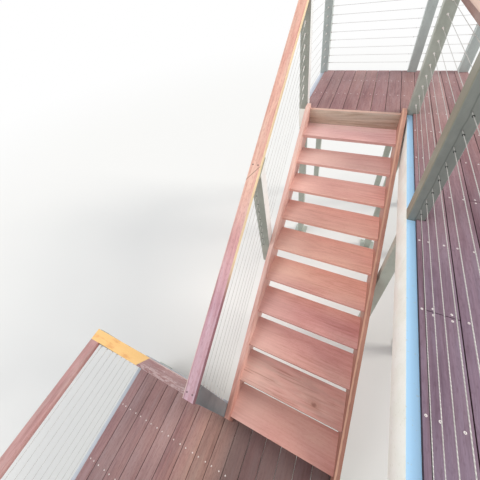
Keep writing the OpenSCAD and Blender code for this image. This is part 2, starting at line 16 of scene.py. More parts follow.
import bpy
from mathutils import Matrix, Vector

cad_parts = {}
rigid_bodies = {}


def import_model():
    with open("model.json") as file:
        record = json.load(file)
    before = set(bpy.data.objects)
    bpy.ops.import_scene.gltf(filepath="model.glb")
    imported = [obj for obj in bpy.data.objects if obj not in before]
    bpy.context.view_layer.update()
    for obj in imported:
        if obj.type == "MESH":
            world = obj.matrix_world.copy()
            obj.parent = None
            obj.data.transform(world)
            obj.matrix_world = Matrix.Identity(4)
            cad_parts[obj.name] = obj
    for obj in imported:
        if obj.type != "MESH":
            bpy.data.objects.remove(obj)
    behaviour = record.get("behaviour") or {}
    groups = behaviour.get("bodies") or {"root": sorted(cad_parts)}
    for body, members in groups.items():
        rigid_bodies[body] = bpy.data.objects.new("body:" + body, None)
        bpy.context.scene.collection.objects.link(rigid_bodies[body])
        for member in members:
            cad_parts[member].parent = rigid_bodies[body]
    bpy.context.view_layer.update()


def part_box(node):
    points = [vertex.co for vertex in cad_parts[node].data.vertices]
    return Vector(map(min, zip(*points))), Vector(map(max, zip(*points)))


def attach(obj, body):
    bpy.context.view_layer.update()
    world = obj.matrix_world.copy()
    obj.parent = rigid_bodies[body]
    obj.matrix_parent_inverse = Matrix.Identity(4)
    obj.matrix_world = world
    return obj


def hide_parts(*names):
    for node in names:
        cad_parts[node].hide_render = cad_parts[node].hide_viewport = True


log = logging.getLogger("deck_stairs")

Material = bpy.types.Material
Piece = bpy.types.Object
Box = tuple[Vector, Vector]
Stops = tuple[tuple[float, str], ...]

BODY = "root"

# Driving sizes of the flight and the boards
RISE = 0.170
GOING = 0.280
DECK_Z = 0.550
TREAD_T = 0.035
BOARD_PITCH = 0.1435
BOARD_JOINT_X = -0.135875
SLOPE = math.atan(RISE / GOING)
UP_SLOPE = Vector((0.0, math.cos(SLOPE), math.sin(SLOPE)))
ALONG_X = Vector((1.0, 0.0, 0.0))
ALONG_Y = Vector((0.0, 1.0, 0.0))


def paint(code: str) -> tuple[float, float, float, float]:
    """Turns a colour as the eye names it into the linear values that Blender mixes.

    Args:
        code: Six hexadecimal digits, two each for red, green and blue.

    Returns:
        The linear colour with an alpha of one.
    """
    parts = [int(code[i:i + 2], 16) / 255 for i in (0, 2, 4)]
    linear = [p / 12.92 if p <= 0.04045 else ((p + 0.055) / 1.055) ** 2.4 for p in parts]
    return (*linear, 1.0)


def maths(operation: str, flipped: bool = False) -> Callable[..., "Sock"]:
    """Makes a method of Sock that adds one Math node on its output and the other values.

    Args:
        operation: What the node works out.
        flipped: Whether the other value comes first.

    Returns:
        The method.
    """
    def method(self: "Sock", *others: "Sock | float") -> "Sock":
        """Adds the node."""
        values = (self, *others)[::-1] if flipped else (self, *others)
        return self.graph.node("ShaderNodeMath", dict(enumerate(values)), operation=operation)

    return method


@dataclass(frozen=True, eq=False)
class Sock:
    """A node's output whose arithmetic adds Math nodes to its tree.

    Attributes:
        graph: The tree.
        socket: The output, or nothing for a node without one.
    """

    graph: "Graph"
    socket: bpy.types.NodeSocket | None

    __add__ = __radd__ = maths("ADD")
    __sub__ = maths("SUBTRACT")
    __rsub__ = maths("SUBTRACT", flipped=True)
    __mul__ = __rmul__ = maths("MULTIPLY")
    __truediv__ = maths("DIVIDE")
    __gt__ = maths("GREATER_THAN")
    __lt__ = maths("LESS_THAN")
    floor = maths("FLOOR")
    sine = maths("SINE")
    size = maths("ABSOLUTE")
    most = maths("MAXIMUM")

    def between(self, low: float, high: float) -> "Sock":
        """Maps a range onto zero to one, clamped and with soft ends."""
        return self.graph.node("ShaderNodeMapRange", {"Value": self, 1: low, 2: high},
                               interpolation_type="SMOOTHSTEP")


class Graph:
    """The node tree of one material or world."""

    def __init__(self, name: str, kind: str = "materials") -> None:
        """Makes an owner with an empty tree.

        Args:
            name: Name of the material or world.
            kind: The list of Blender's data that it belongs to.
        """
        self.owner = getattr(bpy.data, kind).new(name)
        self.owner.use_nodes = True
        self.tree = self.owner.node_tree
        self.tree.nodes.clear()

    @cached_property
    def place(self) -> Sock:
        """The point's place in the frame."""
        return self.node("ShaderNodeTexCoord", out="Object")

    @cached_property
    def facing(self) -> Sock:
        """The direction that the surface faces."""
        return self.node("ShaderNodeTexCoord", out="Normal")

    def node(self, kind: str, sockets: dict | None = None, out: str | int = 0,
             **settings: object) -> Sock:
        """Adds a node.

        Args:
            kind: The node's type.
            sockets: Values, colours or links of its inputs, by name or number.
            out: The output that is handed back.
            settings: Its properties, set first.

        Returns:
            The chosen output.
        """
        item = self.tree.nodes.new(kind)
        for key, value in settings.items():
            setattr(item, key, value)
        for key, value in (sockets or {}).items():
            if isinstance(value, Sock):
                self.tree.links.new(value.socket, item.inputs[key])
            else:
                item.inputs[key].default_value = paint(value) if isinstance(value, str) else value
        return Sock(self, item.outputs[out] if len(item.outputs) else None)

    def vector(self, operation: str, *values: Sock | tuple) -> Sock:
        """Adds a Vector Math node."""
        return self.node("ShaderNodeVectorMath", dict(enumerate(values)), operation=operation)

    def length(self, source: Sock) -> Sock:
        """Measures a vector."""
        return self.node("ShaderNodeVectorMath", {0: source}, "Value", operation="LENGTH")

    def axis(self, source: Sock, number: int) -> Sock:
        """Hands back one part of a vector."""
        return self.node("ShaderNodeSeparateXYZ", {0: source}, number)

    def at(self, number: int) -> Sock:
        """Tells how far along an axis of the frame the point is."""
        return self.axis(self.place, number)

    def faces(self, number: int) -> Sock:
        """Tells how far the surface faces along an axis: one, if wholly."""
        return self.axis(self.facing, number)

    def noise(self, source: Sock, stretch: tuple[float, float, float], detail: float = 2.0,
              rough: float = 0.5) -> Sock:
        """Adds noise with its own scale along each direction.

        Args:
            source: Where the noise is read.
            stretch: How many times the noise repeats in a metre, for each direction.
            detail: Number of finer layers.
            rough: Strength of the finer layers.

        Returns:
            The noise, mostly between 0.3 and 0.7.
        """
        return self.node("ShaderNodeTexNoise", {
            "Vector": self.vector("MULTIPLY", source, stretch),
            "Scale": 1.0, "Detail": detail, "Roughness": rough,
        })

    def mix(self, factor: Sock | float, first: Sock | str, second: Sock | str,
            blend: str = "MIX") -> Sock:
        """Mixes two colours, the second by the share that the factor gives."""
        return self.node("ShaderNodeMix", {0: factor, 6: first, 7: second}, 2,
                         data_type="RGBA", blend_type=blend, clamp_factor=True)

    def ramp(self, factor: Sock, *stops: tuple[float, str]) -> Sock:
        """Turns a value into a colour.

        Args:
            factor: The value.
            stops: Places and colours, lowest first.

        Returns:
            The colour.
        """
        colour = self.node("ShaderNodeValToRGB", {0: factor})
        elements = colour.socket.node.color_ramp.elements
        while len(elements) < len(stops):
            elements.new(1.0)
        for element, (place, code) in zip(elements, stops):
            element.position = place
            element.color = paint(code)
        return colour

    def relief(self, height: Sock, depth: float) -> Sock:
        """Turns a height of zero to one into a bent normal, for its full depth in metres."""
        return self.node("ShaderNodeBump", {"Strength": 1.0, "Distance": depth, "Height": height})

    def surface(self, sockets: dict) -> Material:
        """Ends the tree in a Principled shader with the given inputs and hands back the material."""
        self.node("ShaderNodeOutputMaterial", {"Surface": self.node("ShaderNodeBsdfPrincipled", sockets)})
        return self.owner


class Grain(Enum):
    """Direction of a timber's fibres, as the turn that lays them along X."""

    ALONG_X = (0.0, 0.0, 0.0)
    ALONG_Y = (0.0, 0.0, -math.pi / 2)
    UP_SLOPE = (-SLOPE, 0.0, -math.pi / 2)


class Planks(Enum):
    """How a coordinate tells the planks of one finish apart: its axis, a joint and the pitch."""

    ONE = (0, -9.0, 18.0)
    TREADS = (2, DECK_Z + RISE / 3, RISE)
    BOARDS = (0, BOARD_JOINT_X, BOARD_PITCH)
    JOISTS = (1, 0.0, 0.22)


@dataclass(frozen=True)
class Timber:
    """Sawn or planed timber.

    Attributes:
        name: The material's name.
        light: Colour of the pale early wood.
        middle: The common colour.
        dark: Colour of the late wood and the pores.
        grain: Direction of the fibres.
        planks: How its planks are told apart.
        spread: How far the planks differ in lightness.
        figure: Strength of the growth-ring figure.
        streak: Strength of the long streaks.
        veil: Colour of the weathered skin.
        weather: Share of that skin.
        fleck: Strength of the small dark flecks.
        side: Share of painted shade on the sides along the fibres, which darkens the gaps between boards.
        rough: Mean roughness.
        depth: Depth of the raised grain.
    """

    name: str
    light: str
    middle: str
    dark: str
    grain: Grain
    planks: Planks = Planks.ONE
    spread: float = 0.10
    figure: float = 1.0
    streak: float = 0.55
    veil: str = "b8a9a3"
    weather: float = 0.3
    fleck: float = 0.15
    side: float = 0.0
    rough: float = 0.55
    depth: float = 0.0004

    def tint(self, g: Graph, colour: Sock, laid: Sock) -> Sock:
        """Lets a finish add marks of its own.

        Args:
            g: The material's tree.
            colour: The timber's colour so far.
            laid: The place, with the fibres along X.

        Returns:
            The colour with the marks.
        """
        return colour

    def material(self) -> Material:
        """Builds the material.

        Returns:
            The finished material.
        """
        g = Graph(self.name)
        laid = g.node("ShaderNodeMapping", {"Vector": g.place, "Rotation": self.grain.value})
        axis, joint, pitch = self.planks.value
        number = ((g.at(axis) - joint) / pitch).floor()
        draw = g.node("ShaderNodeTexWhiteNoise", {"W": number}, "Color", noise_dimensions="1D")
        spot = g.vector("MULTIPLY_ADD", draw, (19.0, 7.0, 5.0), laid)
        figure = (g.noise(spot, (0.6, 6.5, 6.5), 1.5, 0.4) * 70.0).sine()
        streak = g.noise(spot, (1.6, 55.0, 55.0), 4.0, 0.6)
        fibre = g.noise(spot, (11.0, 420.0, 420.0), 3.0)
        patch = g.noise(spot, (1.3, 4.0, 4.0), 3.0)
        tone = (
            figure * (0.05 * self.figure)
            + (streak - 0.5) * self.streak
            + (fibre - 0.5) * 0.5
            + (patch - 0.5) * 0.6
            + 0.5
        )
        colour = g.ramp(tone, (0.22, self.dark), (0.5, self.middle), (0.78, self.light))
        warm, deep, pale = (g.axis(draw, part) - 0.5 for part in range(3))
        colour = g.node("ShaderNodeHueSaturation", {
            "Hue": warm * (0.14 * self.spread) + (patch - 0.5) * 0.03 + 0.5,
            "Saturation": deep * (2.0 * self.spread) + 1.0,
            "Value": pale * (2.0 * self.spread) + 1.0,
            "Color": colour,
        })
        skin = g.noise(spot, (2.4, 17.0, 17.0), 5.0, 0.65).between(0.42, 0.66)
        colour = g.mix(skin * self.weather, colour, self.veil)
        fleck = g.noise(spot, (32.0, 95.0, 95.0), 5.0, 0.7).between(0.5, 0.64)
        colour = g.mix(fleck * self.fleck, colour, self.dark)
        colour = self.tint(g, colour, laid)
        turned = g.node("ShaderNodeMapping", {"Vector": g.facing, "Rotation": self.grain.value},
                        vector_type="NORMAL")
        # End grain is darker; the sides along the fibres get painted shade, as in the gaps between boards.
        for part, share in enumerate((0.45, self.side)):
            colour = g.mix((g.axis(turned, part).size() > 0.8) * share, colour, self.dark, "MULTIPLY")
        return g.surface({
            "Base Color": colour,
            "Roughness": (streak - 0.5) * 0.35 + self.rough,
            "Specular IOR Level": 0.35,
            "Normal": g.relief(streak * 0.5 + fibre * 0.4 + figure * 0.05, self.depth),
        })


@dataclass(frozen=True)
class Leaning(Timber):
    """Timber whose tone leans from one end of the piece to the other; on the stair rail and the lower deck
    this is painted light and shade.

    Attributes:
        axis: Axis of the frame that the tone changes along.
        stops: Places on that axis, lowest first, each with the colour that the timber is multiplied by there.
    """

    axis: int = 1
    stops: Stops = ((-1.0, "ffffff"), (1.0, "ffffff"))

    def tint(self, g: Graph, colour: Sock, laid: Sock) -> Sock:
        """Multiplies the timber by the colour for its place."""
        first, run = self.stops[0][0], self.stops[-1][0] - self.stops[0][0]
        stain = g.ramp((g.at(self.axis) - first) / run,
                       *(((place - first) / run, code) for place, code in self.stops))
        return g.mix(1.0, colour, stain, "MULTIPLY")


def ragged_edge(g: Graph, inwards: Sock, laid: Sock, width: float) -> Sock:
    """Gives one on a ragged strip of about a given width along an edge, else zero."""
    chip = g.noise(laid, (14.0, 40.0, 40.0), 4.0) * width + width / 2
    return 1.0 - (inwards - chip).between(-0.001, 0.004)


@dataclass(frozen=True)
class HighlitPlank(Leaning):
    """Plank on edge with a painted highlight along the left side of its upper edge.

    Attributes:
        left_x: Place of the left side along X.
        painted_light_and_wear: Colour of the painted highlight.
        strip: About how wide it is.
    """

    left_x: float = 0.0
    painted_light_and_wear: str = "e6b69c"
    strip: float = 0.013

    def tint(self, g: Graph, colour: Sock, laid: Sock) -> Sock:
        """Tints the plank along its length and paints the highlight on the left side of its upper edge."""
        colour = super().tint(g, colour, laid)
        upward = g.faces(2) > 0.3
        strip = ragged_edge(g, g.at(0) - self.left_x, laid, self.strip)
        # Painted highlight along the left side of the upper edge.
        return g.mix(upward * strip * 0.5, colour, self.painted_light_and_wear)


@dataclass(frozen=True)
class StairRail(Leaning):
    """Handrail timber with a painted highlight along its left edge, and a right side with painted shade below
    and painted sunlight above.

    Attributes:
        sunlit_side: Colour of the painted sunlight on the right side.
        heart: Colour of the painted shade on the right side below it.
        sunlit_side_y: Places along Y where the painted sunlight starts and where it is full.
        painted_light_and_wear: Colour of the painted highlight on the left edge.
        pale_edge_w: About how wide that edge is.
        gap: Colour in the joint of the rail's two lengths.
        left_x: Place of the left edge along X.
        joint_y: Place along Y where the joint meets the left edge.
        joint_run: How far the joint moves along Y for each metre along X.
    """

    sunlit_side: str = "f2e0b4"
    heart: str = "7d5058"
    sunlit_side_y: tuple[float, float] = (-0.85, -0.50)
    painted_light_and_wear: str = "edd8c8"
    pale_edge_w: float = 0.005
    gap: str = "7c4a3e"
    left_x: float = 0.0
    joint_y: float = 0.0
    joint_run: float = 0.0

    def tint(self, g: Graph, colour: Sock, laid: Sock) -> Sock:
        """Tints the rail along its length, paints a highlight on its left edge, draws its joint and paints
        shade and sunlight on its right side.
        """
        colour = super().tint(g, colour, laid)
        across = g.at(0) - self.left_x
        # Painted highlight along the left edge.
        colour = g.mix(ragged_edge(g, across, laid, self.pale_edge_w) * 0.55, colour, self.painted_light_and_wear)
        away = g.at(1) - self.joint_y - across * self.joint_run
        colour = g.mix((1.0 - away.size().between(0.002, 0.006)) * 0.75, colour, self.gap)
        # Painted sunlight above and painted shade below on the right side.
        side = g.faces(0) > 0.35
        high = g.at(1).between(*self.sunlit_side_y)
        return g.mix(side * 0.8, colour, g.mix(high, self.heart, self.sunlit_side))


def golden_colour(g: Graph, laid: Sock) -> Sock:
    """Mixes a golden colour with darker streaks."""
    resin = g.noise(laid, (7.0, 22.0, 22.0), 4.0, 0.6).between(0.50, 0.66)
    return g.mix(resin * 0.6, "fbcb80", "e69c54")


@dataclass(frozen=True)
class GoldenEnd(Timber):
    """Level handrail timber whose far end is golden, as the rail across it.

    Attributes:
        golden_y: Place along Y where the golden end starts.
    """

    golden_y: float = 0.0

    def tint(self, g: Graph, colour: Sock, laid: Sock) -> Sock:
        """Gives the end its golden colour."""
        gold_share = g.at(1) > self.golden_y
        return g.mix(gold_share * 0.88, colour, golden_colour(g, g.place))


@dataclass(frozen=True)
class CornerRail(Timber):
    """Handrail timber that is golden from its corner up to a skewed line, with pale flakes and a pale far
    edge.

    Attributes:
        painted_light_and_wear: Colour of the rail's pale far edge.
        pale_edge_w: About how wide the pale far edge is.
        end_x: Place along X where the stretch ends, at the rail's middle.
        middle_y: Place of the rail's middle along Y.
        half: Half the rail's width.
        skew: How far the line moves along X for each metre along Y.
    """

    painted_light_and_wear: str = "dccbc4"
    pale_edge_w: float = 0.006
    end_x: float = -0.857
    middle_y: float = -1.325
    half: float = 0.044
    skew: float = 0.94

    def tint(self, g: Graph, colour: Sock, laid: Sock) -> Sock:
        """Flakes the rail, pales its far edge, and gives the stretch next to the corner its golden colour."""
        across = g.at(1) - self.middle_y
        line = across * self.skew + self.end_x
        gold_share = 1.0 - (g.at(0) - line).between(-0.004, 0.004)
        near = 1.0 - (across + self.half).between(0.0, 0.07)
        flake = (g.noise(laid, (24.0, 110.0, 110.0), 6.0, 0.75) + near * 0.10).between(0.55, 0.63)
        colour = g.mix(flake * 0.5, colour, self.veil)
        strip = ragged_edge(g, self.half - across, laid, self.pale_edge_w)
        colour = g.mix(strip * 0.75, colour, self.painted_light_and_wear)
        return g.mix(gold_share * 0.88, colour, golden_colour(g, laid))


@dataclass(frozen=True)
class PaleTop(Timber):
    """Weathered timber whose upper face is paler; on the side deck's rail the paler top is painted sunlight.

    Attributes:
        top: Colour of the upper face.
    """

    top: str = "dcb3a4"

    def tint(self, g: Graph, colour: Sock, laid: Sock) -> Sock:
        """Gives the upper face its paler colour."""
        upward = g.faces(2) > 0.3
        return g.mix(upward * 0.8, colour, self.top)


@dataclass(frozen=True)
class TreadTimber(Leaning):
    """Tread timber with painted light towards its left end.

    Attributes:
        pale: Colour of the painted light on the left end.
        lit_end_x: Places along X where the painted light is full and where it has faded.
    """

    pale: str = "ffe2d6"
    lit_end_x: tuple[float, float] = (-0.20, 0.32)

    def tint(self, g: Graph, colour: Sock, laid: Sock) -> Sock:
        """Tints the tread along its length and paints light on its left end."""
        colour = super().tint(g, colour, laid)
        # Painted light on the left end.
        share = 1.0 - g.at(0).between(*self.lit_end_x)
        return g.mix(share * 0.28, colour, self.pale)


@dataclass(frozen=True)
class Knot(TreadTimber):
    """Tread timber with a knot in one tread.

    Attributes:
        centre: Place of the knot in the frame.
        radius: Radius of the knot's dark heart.
        lines: Colour of the dark lines in the whole tread.
        halo: Colour of the timber that bends round the knot.
        heart: Colour of the heart.
    """

    centre: tuple[float, float, float] = (0.0, 0.0, 0.0)
    radius: float = 0.016
    lines: str = "96604f"
    halo: str = "a8705e"
    heart: str = "7d4c40"

    def tint(self, g: Graph, colour: Sock, laid: Sock) -> Sock:
        """Tints the tread as the others, then darkens the knot and the timber that bends round it."""
        colour = super().tint(g, colour, laid)
        oval = g.vector("MULTIPLY", g.vector("SUBTRACT", g.place, self.centre), (0.7, 1.0, 1.0))
        reach = g.length(oval) + g.noise(g.place, (70.0, 70.0, 70.0), 3.0) * 0.022
        rings = (reach * 900.0).sine() * 0.5 + 0.5
        heart = 1.0 - reach.between(self.radius * 1.1, self.radius * 2.0)
        halo = 1.0 - reach.between(self.radius * 1.5, self.radius * 5.0)
        line = g.noise(laid, (2.5, 60.0, 60.0), 3.0).between(0.6, 0.68)
        colour = g.mix(line * 0.4, colour, self.lines)
        colour = g.mix(halo * (rings * 0.25 + 0.25), colour, self.halo)
        return g.mix(heart * 0.6, colour, self.heart)


@dataclass(frozen=True)
class PaintedSteel:
    """Steel with a satin coat, slightly mottled and marked.

    Attributes:
        name: The material's name.
        body: Colour of the coat.
        patch: Colour of its duller patches.
        upward: Colour of faces that look up, a painted reflection of the sky.
        mark: Colour of its scuffs.
        rough: Mean roughness.
        sunlit_face: Colour of the painted sunlight on faces towards +X, or nothing for none.
        warm_lit_face: Colour of the painted warm light on faces towards -X, or nothing for none.
        hole_line: Colour of the dark line that runs down from hole to hole.
        hole_line_x: Place of that line along X, or nothing without one.
    """

    name: str
    body: str
    patch: str
    upward: str
    mark: str = "8b8678"
    rough: float = 0.42
    sunlit_face: str = ""
    warm_lit_face: str = ""
    hole_line: str = "4c514d"
    hole_line_x: float | None = None

    def material(self) -> Material:
        """Builds the material.

        Returns:
            The finished material.
        """
        g = Graph(self.name)
        cloud = g.noise(g.place, (9.0, 9.0, 5.0), 5.0, 0.6)
        grit = g.noise(g.place, (160.0, 160.0, 160.0), 3.0)
        flow = g.noise(g.place, (46.0, 46.0, 2.5), 3.0)
        scuff = g.noise(g.place, (24.0, 24.0, 60.0), 6.0, 0.7).between(0.62, 0.72)
        colour = g.mix(cloud.between(0.38, 0.66), self.body, self.patch)
        colour = g.mix(flow.between(0.5, 0.8) * 0.3, colour, self.patch)
        # Painted reflection of the sky on faces that look up.
        colour = g.mix((g.faces(2) > 0.7) * 0.9, colour, self.upward)
        # Painted sunlight on faces towards +X.
        if self.sunlit_face:
            colour = g.mix((g.faces(0) > 0.7) * 0.9, colour, self.sunlit_face)
        # Painted warm light on faces towards -X.
        if self.warm_lit_face:
            colour = g.mix((g.faces(0) < -0.5) * 0.7, colour, self.warm_lit_face)
        # A dark line down from hole to hole.
        if self.hole_line_x is not None:
            wander = g.noise(g.place, (4.0, 4.0, 11.0), 3.0) * 0.016 - 0.008
            line = 1.0 - (g.at(0) - self.hole_line_x + wander).size().between(0.001, 0.005)
            colour = g.mix(line * 0.45, colour, self.hole_line)
        speck = g.noise(g.place, (75.0, 75.0, 75.0), 2.0).between(0.66, 0.70)
        return g.surface({
            "Base Color": g.mix(scuff * 0.35 + speck * 0.25, colour, self.mark),
            "Roughness": (cloud - 0.5) * 0.3 + scuff * 0.15 + self.rough,
            "Coat Weight": 0.15,
            "Coat Roughness": 0.25,
            "Normal": g.relief(grit * 0.3 + cloud * 0.7, 0.0006),
        })


@dataclass(frozen=True)
class WireRope:
    """Stainless wire rope with twisted strands and a smooth sleeve at each end.

    Attributes:
        name: The material's name.
        axis: Axis that tells how far along a wire a point is.
        ends: Where the wires end on that axis.
        sleeve: Length of a sleeve on that axis.
        colour: Colour of the sleeves, a painted highlight against the darker rope, and of the strands'
            crowns.
        shade: Colour of the painted shade between the strands, which also lies thinly over the whole rope.
        lay: Length of one twist over the number of strands that show.
    """

    name: str
    axis: int
    ends: tuple[float, float]
    sleeve: float
    colour: str = "e9e7e2"
    shade: str = "96948f"
    lay: float = 0.012

    def material(self) -> Material:
        """Builds the material.

        Returns:
            The finished material.
        """
        g = Graph(self.name)
        low, high = self.ends
        away = (g.at(self.axis) - (low + high) / 2).size()
        rope = away < (high - low) / 2 - self.sleeve
        twist = g.at(0) + g.at(1) + g.at(2) * 1.6
        strand = (twist * (2.0 * math.pi / self.lay)).sine() * 0.5 + 0.5
        dull = g.noise(g.place, (7.0, 7.0, 7.0), 4.0).between(0.4, 0.7)
        colour = g.mix(dull * 0.3, self.colour, self.shade)
        return g.surface({
            # Painted shade between the strands and thinly over the rope; the sleeves keep the light colour as
            # a painted highlight.
            "Base Color": g.mix(rope * ((1.0 - strand) * 0.4 + 0.35), colour, self.shade),
            "Metallic": 0.15,
            "Roughness": dull * 0.2 + 0.32,
            "Normal": g.relief(rope * strand, 0.0003),
        })


@dataclass(frozen=True)
class ScrewMetal:
    """Finish of the screw heads, nuts and bushes.

    Attributes:
        name: The material's name.
        bright: Colour where it is clean.
        dull: Colour where it is stained.
        metallic: How much of it is bare metal.
    """

    name: str
    bright: str
    dull: str
    metallic: float

    def material(self) -> Material:
        """Builds the material.

        Returns:
            The finished material.
        """
        g = Graph(self.name)
        stain = g.noise(g.place, (140.0, 140.0, 140.0), 3.0).between(0.4, 0.65)
        return g.surface({
            "Base Color": g.mix(stain, self.bright, self.dull),
            "Metallic": self.metallic,
            "Roughness": stain * 0.25 + 0.3,
            "Normal": g.relief(stain, 0.0001),
        })


class Bench:
    """Modelling by hand with Blender's own operators, one piece at a time.

    Attributes:
        WELD: Points closer than this are merged.
        FLAT: Faces that turn by less than this are one face.
        SHARP: Edges whose faces turn by more than this are rounded.
        SMOOTH: Edges whose faces turn by less than this are shaded smooth.
        SMALL_SLOT: The record's material slot of screws, nuts and bushes.
    """

    WELD = 0.00002
    FLAT = math.radians(1.0)
    SHARP = math.radians(30.0)
    SMOOTH = math.radians(35.0)
    SMALL_SLOT = "wire_steel"

    @staticmethod
    def hold(piece: Piece) -> None:
        """Makes a piece the only one selected, and active."""
        bpy.ops.object.select_all(action="DESELECT")
        piece.select_set(True)
        bpy.context.view_layer.objects.active = piece

    @staticmethod
    def pick(piece: Piece, kind: str, test: Callable[[object], bool]) -> None:
        """Enters edit mode with only the wanted elements selected.

        Args:
            piece: The piece.
            kind: Its vertices, edges or polygons.
            test: Says whether an element is wanted.
        """
        Bench.hold(piece)
        mesh = piece.data
        wanted = [test(item) for item in getattr(mesh, kind)]
        for items in (mesh.vertices, mesh.edges, mesh.polygons):
            items.foreach_set("select", [False] * len(items))
        for item, chosen in zip(getattr(mesh, kind), wanted):
            if chosen:
                item.select = True
                for corner in getattr(item, "vertices", ()):
                    mesh.vertices[corner].select = True
        modes = ("vertices", "edges", "polygons")
        bpy.context.tool_settings.mesh_select_mode = tuple(mode == kind for mode in modes)
        bpy.ops.object.mode_set(mode="EDIT")

    @staticmethod
    def done() -> None:
        """Leaves edit mode."""
        bpy.ops.object.mode_set(mode="OBJECT")

    @staticmethod
    def rod(sides: int, radius: float, height: float, middle_z: float = 0.0) -> Piece:
        """Adds a prism on the Z axis, from which a small piece is shaped.

        Args:
            sides: Number of its sides.
            radius: Radius over its corners.
            height: Its height.
            middle_z: Height of its middle.

        Returns:
            The prism.
        """
        bpy.ops.object.select_all(action="DESELECT")
        bpy.ops.mesh.primitive_cylinder_add(vertices=sides, radius=radius, depth=height,
                                            location=(0.0, 0.0, middle_z))
        bpy.ops.object.transform_apply(location=True, rotation=True, scale=True)
        return bpy.context.object

    @classmethod
    def rounded(cls, node: str, name: str, radius: float, segments: int = 2,
                test: Callable[[Vector, Vector], bool] | None = None) -> Piece:
        """Copies a node's solids, merges their triangles into whole faces and rounds their edges.

        Args:
            node: Name of the frame's node.
            name: Name of the copy.
            radius: Radius of the edges.
            segments: Faces round an edge.
            test: Says from its two ends whether a sharp edge is rounded, or None for all of them.

        Returns:
            The copy.
        """
        piece = bpy.data.objects.new(name, bpy.data.objects[node].data.copy())
        bpy.context.scene.collection.objects.link(piece)
        piece.data.materials.clear()
        cls.hold(piece)
        bpy.ops.mesh.customdata_custom_splitnormals_clear()
        bpy.ops.object.mode_set(mode="EDIT")
        bpy.ops.mesh.select_all(action="SELECT")
        bpy.ops.mesh.remove_doubles(threshold=cls.WELD)
        bpy.ops.mesh.dissolve_limited(angle_limit=cls.FLAT)
        cls.done()
        mesh = piece.data
        sharp = cls._sharp_edges(mesh)

        def wanted(edge: bpy.types.MeshEdge) -> bool:
            """Says whether an edge is sharp and passes the test."""
            ends = [mesh.vertices[i].co for i in edge.vertices]
            return edge.index in sharp and (test is None or test(*ends))

        cls.pick(piece, "edges", wanted)
        bpy.ops.mesh.bevel(offset=radius, segments=segments, affect="EDGES", clamp_overlap=True)
        cls.done()
        bpy.ops.object.shade_smooth_by_angle(angle=cls.SMOOTH)
        return piece

    @classmethod
    def _sharp_edges(cls, mesh: bpy.types.Mesh) -> set[int]:
        """Finds a mesh's sharp edges.

        Args:
            mesh: The mesh.

        Returns:
            The numbers of the edges with two faces that turn by more than the limit.
        """
        sides: dict[tuple[int, int], list[Vector]] = {}
        for face in mesh.polygons:
            for key in face.edge_keys:
                sides.setdefault(key, []).append(face.normal)
        limit = math.cos(cls.SHARP)
        return {
            edge.index for edge in mesh.edges
            if len(sides.get(edge.key, ())) == 2 and sides[edge.key][0].dot(sides[edge.key][1]) < limit
        }

    @classmethod
    def spread(cls, pattern: Piece, name: str, places: list[Matrix], metal: Material) -> None:
        """Copies a pattern to many places, joins the copies into one piece and settles it.

        Args:
            pattern: The piece that is copied, which is removed after.
            name: Name of the joined piece.
            places: Where the copies go.
            metal: Their material.
        """
        copies = []
        for place in places:
            copy = bpy.data.objects.new(name, pattern.data.copy())
            copy.data.transform(place)
            bpy.context.scene.collection.objects.link(copy)
            copies.append(copy)
        bpy.data.objects.remove(pattern)
        cls.hold(copies[0])
        for copy in copies:
            copy.select_set(True)
        bpy.ops.object.join()
        settle(copies[0], metal, cls.SMALL_SLOT)


def aimed(spot: Vector, way: Vector) -> Matrix:
    """Moves a small piece from the origin to a spot and turns its Z axis along a direction."""
    return Matrix.Translation(spot) @ way.to_track_quat("Z", "X").to_matrix().to_4x4()


def solids_of(node: str) -> list[Box]:
    """Finds the separate solids in a node.

    Args:
        node: The node's name.

    Returns:
        The lowest and highest corner of each solid.
    """
    mesh = bpy.data.objects[node].data
    keys = [tuple(round(c, 5) for c in v.co) for v in mesh.vertices]
    parent: dict[tuple, tuple] = {key: key for key in keys}

    def top(key: tuple) -> tuple:
        """Follows a point to the head of its group."""
        while parent[key] != key:
            parent[key] = parent[parent[key]]
            key = parent[key]
        return key

    for face in mesh.polygons:
        first, *others = [keys[i] for i in face.vertices]
        for other in others:
            parent[top(other)] = top(first)
    groups: dict[tuple, list[tuple]] = {}
    for key in parent:
        groups.setdefault(top(key), []).append(key)
    boxes = [tuple(Vector([end(c) for c in zip(*group)]) for end in (min, max)) for group in groups.values()]
    return sorted(boxes, key=lambda box: tuple(box[0]))


def settle(piece: Piece, material: Material, slot: str, *nodes: str) -> None:
    """Gives a finished piece its material and body, and hides the nodes that it stands for.

    Args:
        piece: The finished piece.
        material: Its material.
        slot: The record's material slot; not used.
        nodes: Nodes that it replaces.
    """
    piece.data.materials.clear()
    piece.data.materials.append(material)
    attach(piece, BODY)
    if nodes:
        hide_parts(*nodes)
    log.info("piece %s: %d faces", piece.name, len(piece.data.polygons))


def dress(material: Material, *nodes: str) -> None:
    """Gives nodes of the frame a material.

    Args:
        material: The material.
        nodes: The nodes' names.
    """
    for node in nodes:
        for place in bpy.data.objects[node].material_slots:
            place.material = material


